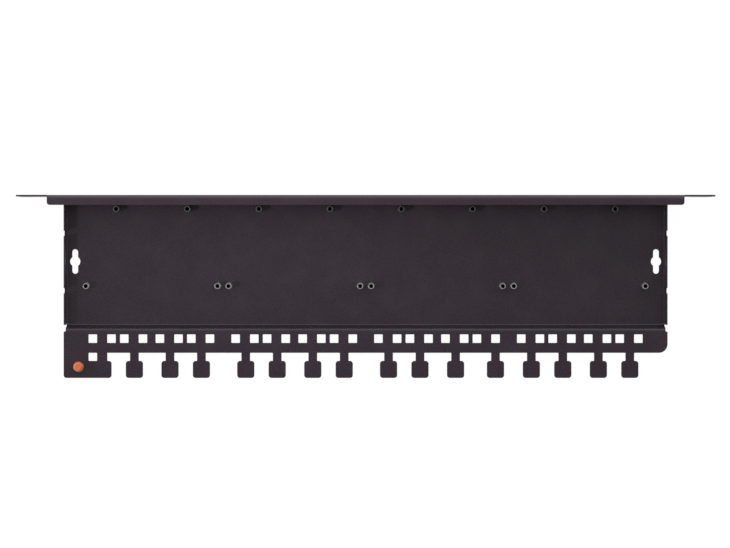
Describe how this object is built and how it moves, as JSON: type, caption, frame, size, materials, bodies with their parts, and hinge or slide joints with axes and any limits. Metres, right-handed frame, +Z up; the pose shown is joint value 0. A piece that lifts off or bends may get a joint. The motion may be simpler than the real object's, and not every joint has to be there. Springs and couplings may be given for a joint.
{
  "type": "audio patch bay frame",
  "caption": "Unloaded rack-mount audio patch bay frame: folded panel with ears and jack holes, an open tray with board standoffs, and a rear comb for cable ties with a ground stud.",
  "frame": {"origin": "middle of the underside's bounding rectangle, on the surface that the tray lies on", "axes": "+X along the width with the ground stud at the +X end, +Y from the front panel to the comb, +Z up"},
  "size_m": [0.4826, 0.1273, 0.0437],
  "materials": {
    "powder_coat": "fine satin powder coat, near black with a warm cast, on sheet steel",
    "zinc_plate": "zinc plating on turned steel",
    "copper_plate": "copper plating on a steel weld stud"
  },
  "bodies": {
    "root": {"front_panel": "powder_coat", "tray": "powder_coat", "standoff_front_1": "zinc_plate", "standoff_front_2": "zinc_plate", "standoff_front_3": "zinc_plate", "standoff_front_4": "zinc_plate", "standoff_front_5": "zinc_plate", "standoff_front_6": "zinc_plate", "standoff_front_7": "zinc_plate", "standoff_front_8": "zinc_plate", "standoff_rear_1": "zinc_plate", "standoff_rear_2": "zinc_plate", "standoff_rear_3": "zinc_plate", "standoff_rear_4": "zinc_plate", "standoff_rear_5": "zinc_plate", "standoff_rear_6": "zinc_plate", "standoff_rear_7": "zinc_plate", "standoff_rear_8": "zinc_plate", "ground_stud": "copper_plate", "panel_stud_1": "copper_plate", "panel_stud_2": "copper_plate", "panel_stud_3": "copper_plate", "panel_stud_4": "copper_plate", "panel_stud_5": "copper_plate", "panel_nut_1": "zinc_plate", "panel_nut_2": "zinc_plate", "panel_nut_3": "zinc_plate", "panel_nut_4": "zinc_plate", "panel_nut_5": "zinc_plate"}
  },
  "joints": []
}
